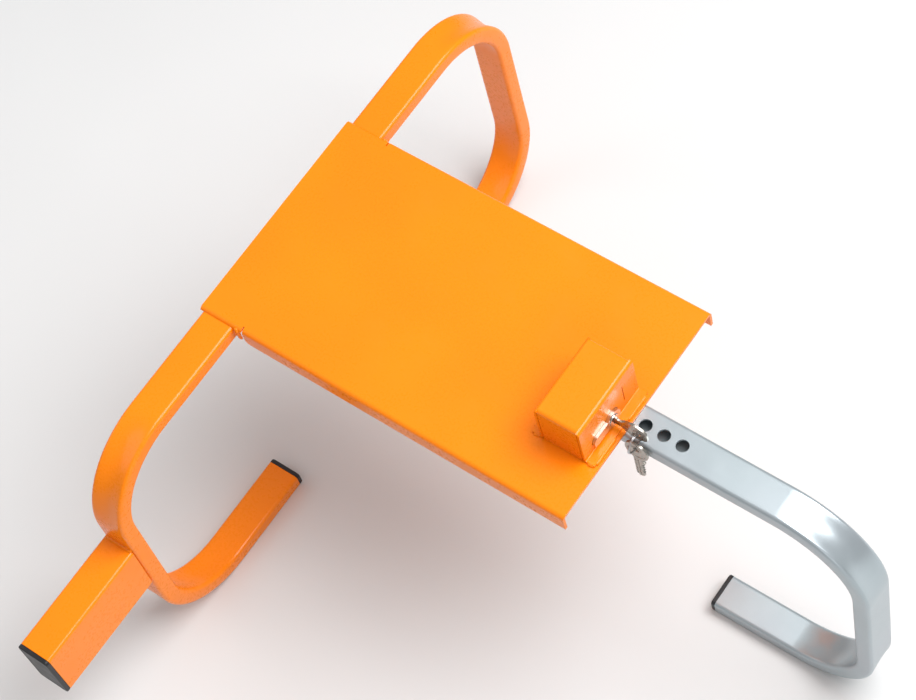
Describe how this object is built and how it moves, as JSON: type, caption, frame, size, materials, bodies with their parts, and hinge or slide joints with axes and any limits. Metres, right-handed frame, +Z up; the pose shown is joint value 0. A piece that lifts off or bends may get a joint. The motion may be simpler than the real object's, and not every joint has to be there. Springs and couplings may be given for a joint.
{
  "type": "wheel clamp",
  "caption": "Wheel clamp with a cover plate, two fixed hooks, a sliding hooked arm with locking holes, and a key-operated bolt lock in a welded housing.",
  "frame": {"origin": "centre of the bounding box's base, on the floor under the clamp", "axes": "+Z up, away from the hooks; +Y along the claw tube, from the stub towards the plain hook; +X from the claw tube to the sliding arm"},
  "size_m": [0.5436, 0.6338, 0.3188],
  "materials": {
    "orange_powder_coat": "glossy orange-yellow powder coat",
    "black_plastic": "moulded black plastic",
    "zinc_plate": "zinc-plated steel tube, bluish and satin",
    "nickel": "nickel-plated brass, satin",
    "steel": "plain steel"
  },
  "bodies": {
    "frame": {"cover_plate": "orange_powder_coat", "claw_tube": "orange_powder_coat", "claw_cap_lower": "black_plastic", "claw_cap_upper": "black_plastic", "stub_tube": "orange_powder_coat", "stub_cap": "black_plastic", "arm_guide": "orange_powder_coat", "lock_housing": "orange_powder_coat", "lock_cylinder": "nickel", "bolt_guide": "steel", "bolt_spring": "steel", "cylinder_screw": "steel"},
    "arm": {"sliding_arm": "zinc_plate", "arm_cap": "black_plastic", "arm_inner_cap": "black_plastic"},
    "plug": {"lock_plug": "nickel", "lock_cam": "steel"},
    "bolt": {"lock_bolt": "steel"},
    "key": {"lock_key": "nickel"},
    "ring": {"split_ring": "steel"},
    "spare": {"spare_key": "nickel"}
  },
  "joints": [
    {"name": "arm_slide", "type": "slide", "parent": "frame", "child": "arm", "axis": [1, 0, 0], "range_m": [-0.08, 0.048]},
    {"name": "plug_turn", "type": "hinge", "parent": "frame", "child": "plug", "pos_m": [0.03825, 0.0424, 0.2853], "axis": [-1, 0, 0], "range_deg": [0, 90]},
    {"name": "bolt_lift", "type": "slide", "parent": "frame", "child": "bolt", "axis": [0, 0, -1], "range_m": [0, 0.019], "deforming": ["bolt_spring"]},
    {"name": "key_pull", "type": "slide", "parent": "plug", "child": "key", "axis": [1, 0, 0], "range_m": [0, 0.027]},
    {"name": "ring_swing", "type": "hinge", "parent": "key", "child": "ring", "pos_m": [0.08085, 0.0424, 0.2853], "axis": [0, -1, 0], "range_deg": [0, 35]},
    {"name": "spare_key_swing", "type": "hinge", "parent": "ring", "child": "spare", "pos_m": [0.08085, 0.0369, 0.27005], "axis": [0, -1, 0], "range_deg": [0, 40]}
  ],
  "couplings": [
    {"joint": "plug_turn", "follows": "bolt_lift", "rad_per_m": 82.67}
  ]
}
